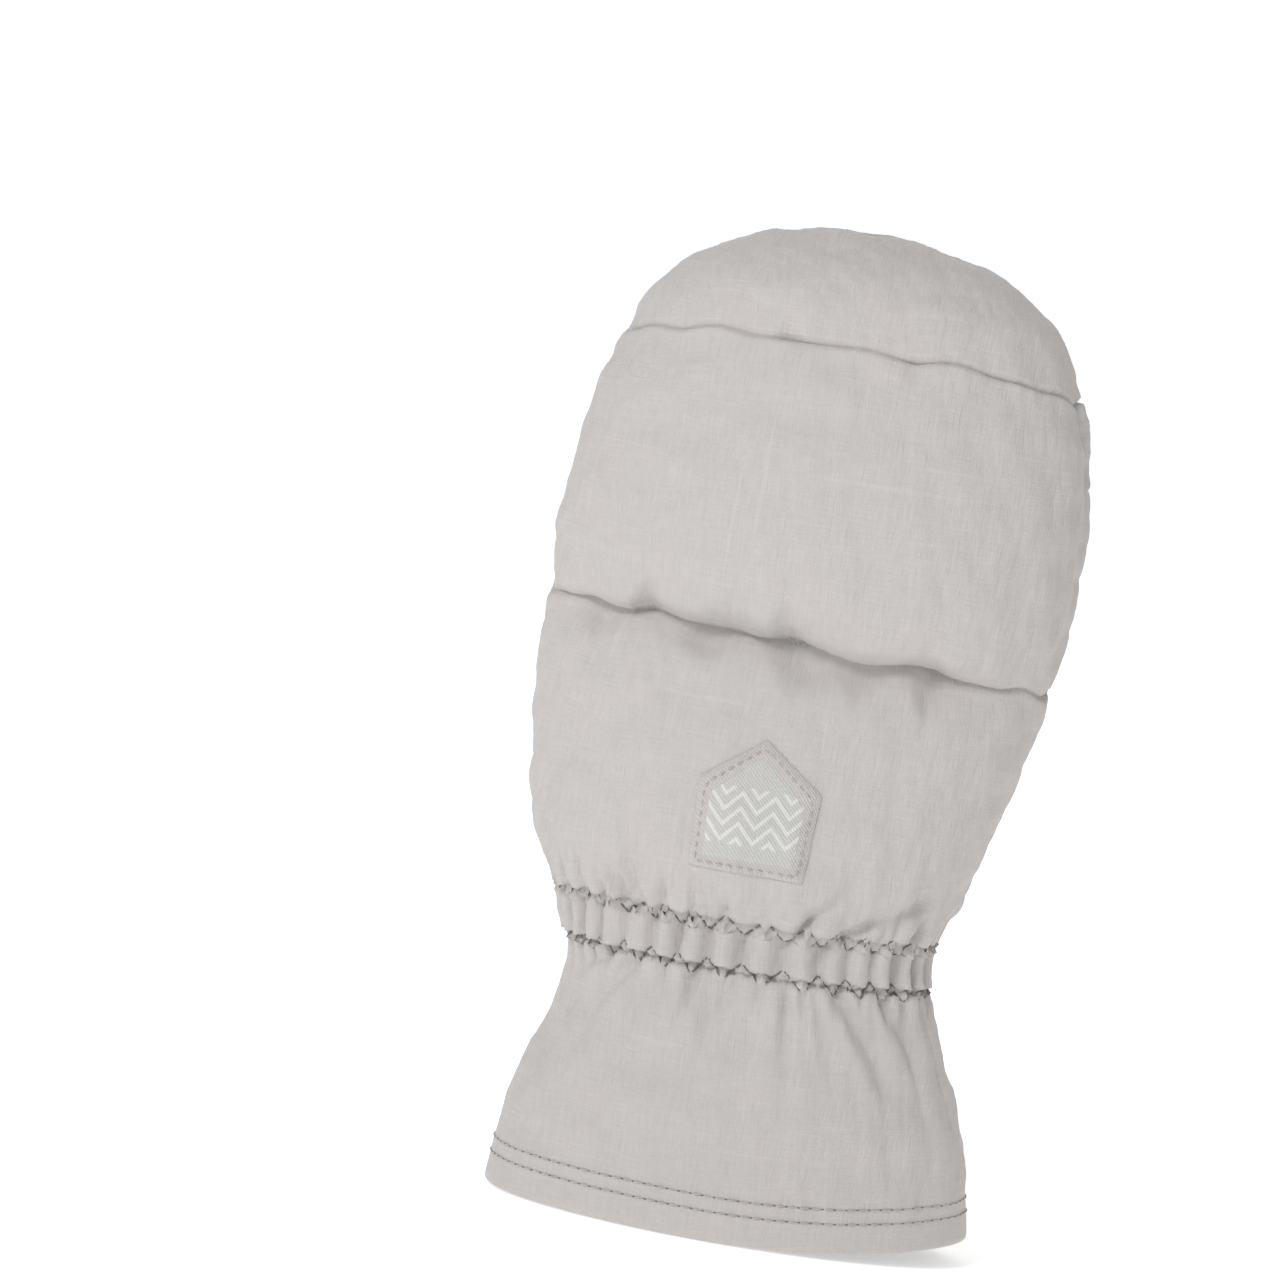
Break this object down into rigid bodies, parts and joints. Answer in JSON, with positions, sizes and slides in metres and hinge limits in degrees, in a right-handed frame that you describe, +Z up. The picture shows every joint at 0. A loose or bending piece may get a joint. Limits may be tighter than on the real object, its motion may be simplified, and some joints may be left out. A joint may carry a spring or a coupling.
{
  "type": "ski mitten",
  "caption": "Padded ski mitten for the right hand, standing on its cuff: quilted fabric back, leather palm, free thumb, elastic wrist and flared gauntlet cuff",
  "frame": {"origin": "middle of the bounding box at floor level, under the cuff's hem", "axes": "+Z up along the fingers, -Y the back of the hand, +Y the palm and thumb, -X the thumb side"},
  "size_m": [0.1392, 0.1046, 0.277],
  "materials": {
    "shell_fabric": "warm light grey woven nylon, matte",
    "palm_leather": "off-white fine-grained leather, soft sheen",
    "wadding": "white polyester wadding",
    "lining_fleece": "brushed fleece",
    "elastic_band": "flat woven elastic",
    "thread": "dark grey sewing thread",
    "patch_fabric": "light grey woven badge",
    "label_ribbon": "black woven ribbon"
  },
  "bodies": {
    "cuff": {"hem_facing": "shell_fabric", "cuff_padding": "wadding", "cuff_back_panel": "shell_fabric", "cuff_palm_panel": "shell_fabric", "cuff_leather_strip": "palm_leather", "cuff_lining": "lining_fleece", "hem_stitch_lower": "thread", "hem_stitch_upper": "thread", "cuff_seam_stitch": "thread", "strip_topstitch": "thread"},
    "label": {"side_label": "label_ribbon"},
    "wrist": {"wrist_fabric": "shell_fabric", "wrist_leather": "palm_leather", "wrist_lining": "lining_fleece", "upper_elastic": "elastic_band", "lower_elastic": "elastic_band", "upper_zigzag_stitch": "thread", "lower_zigzag_stitch": "thread"},
    "hand": {"hand_back_wadding": "wadding", "palm_pad": "wadding", "back_hand_panel": "shell_fabric", "palm_leather_panel": "palm_leather", "hand_lining": "lining_fleece", "shield_patch": "patch_fabric", "patch_stitch": "thread"},
    "fingers": {"finger_back_wadding": "wadding", "finger_pad": "wadding", "fingertip_wadding": "wadding", "back_finger_panel": "shell_fabric", "fingertip_panel": "shell_fabric"},
    "thumb_base": {"thumb_base_wadding": "wadding", "thumb_base_panel": "shell_fabric", "thumb_gusset_leather": "palm_leather", "thumb_base_lining": "lining_fleece"},
    "thumb": {"thumb_wadding": "wadding", "thumb_panel": "shell_fabric", "thumb_leather": "palm_leather", "thumb_lining": "lining_fleece"}
  },
  "joints": [
    {"name": "label_flip", "type": "hinge", "parent": "cuff", "child": "label", "pos_m": [0.01901, 0.02021, 0.0455], "axis": [-0.1826, -0.1968, 0.9633], "range_deg": [0, 60], "stiffness_Nm_per_rad": 0.00002},
    {"name": "wrist_sway", "type": "hinge", "parent": "cuff", "child": "wrist", "pos_m": [0, -0.01215, 0.071], "axis": [0, 1, 0], "range_deg": [-12, 12], "stiffness_Nm_per_rad": 1, "deforming": ["wrist_fabric", "wrist_leather", "wrist_lining", "upper_elastic", "lower_elastic", "upper_zigzag_stitch", "lower_zigzag_stitch"]},
    {"name": "wrist_flex", "type": "hinge", "parent": "wrist", "child": "hand", "pos_m": [0, -0.01215, 0.086], "axis": [-1, 0, 0], "range_deg": [-15, 25], "stiffness_Nm_per_rad": 1},
    {"name": "finger_curl", "type": "hinge", "parent": "hand", "child": "fingers", "pos_m": [0, -0.00415, 0.163], "axis": [-1, 0, 0], "range_deg": [0, 32], "stiffness_Nm_per_rad": 0.15, "deforming": ["palm_leather_panel", "hand_lining"]},
    {"name": "thumb_carry", "type": "hinge", "parent": "hand", "child": "thumb_base", "pos_m": [-0.0277, 0.00585, 0.094], "axis": [-1, 0, 0], "range_deg": [0, 16], "stiffness_Nm_per_rad": 0.1, "deforming": ["thumb_base_panel", "thumb_base_lining"]},
    {"name": "thumb_swing", "type": "hinge", "parent": "thumb_base", "child": "thumb", "pos_m": [-0.0342, 0.03085, 0.141], "axis": [-1, 0, 0], "range_deg": [0, 30], "stiffness_Nm_per_rad": 0.08, "deforming": ["thumb_panel"]}
  ],
  "couplings": [
    {"joint": "thumb_carry", "follows": "finger_curl", "ratio": 0.5}
  ]
}
